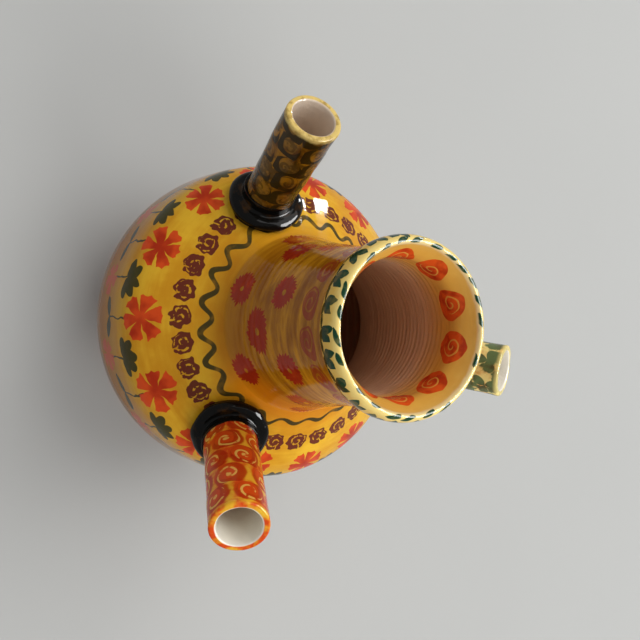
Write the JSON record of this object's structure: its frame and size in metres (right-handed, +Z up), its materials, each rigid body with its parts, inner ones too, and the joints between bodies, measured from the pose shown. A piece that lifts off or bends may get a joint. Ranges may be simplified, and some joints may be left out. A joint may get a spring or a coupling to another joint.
{
  "type": "pottery vase",
  "caption": "Round-bellied glazed earthenware vase with a wide lipped neck and slanted spout tubes rising from collars on its shoulder.",
  "frame": {"origin": "centre of the foot's flat underside, on the pot's turning axis", "axes": "+Z up the pot's turning axis, towards its mouth; -Y is the front, between the olive spout and the red one; the green spout points to +Y"},
  "size_m": [0.2564, 0.2383, 0.2899],
  "materials": {
    "belly_glaze": "glossy transparent glaze over brushed ochre slip with painted flowers",
    "bare_clay": "bare fired earthenware, wiped smooth",
    "neck_glaze": "glossy glaze over ochre slip outside, thin brown glaze inside",
    "lip_glaze": "glossy glaze over cream slip with green leaf strokes",
    "olive_glaze": "glossy glaze over olive and brown sponged spirals",
    "red_glaze": "glossy glaze over orange-red spirals on yellow",
    "green_glaze": "glossy glaze over green leaf dabs on orange",
    "black_glaze_olive": "glossy black glaze",
    "black_glaze_red": "glossy black glaze",
    "black_glaze_green": "glossy black glaze"
  },
  "bodies": {
    "root": {"belly": "belly_glaze", "foot": "bare_clay", "neck": "neck_glaze", "lip": "lip_glaze", "spout_olive": "olive_glaze", "spout_red": "red_glaze", "spout_green": "green_glaze", "collar_olive": "black_glaze_olive", "collar_red": "black_glaze_red", "collar_green": "black_glaze_green"}
  },
  "joints": []
}
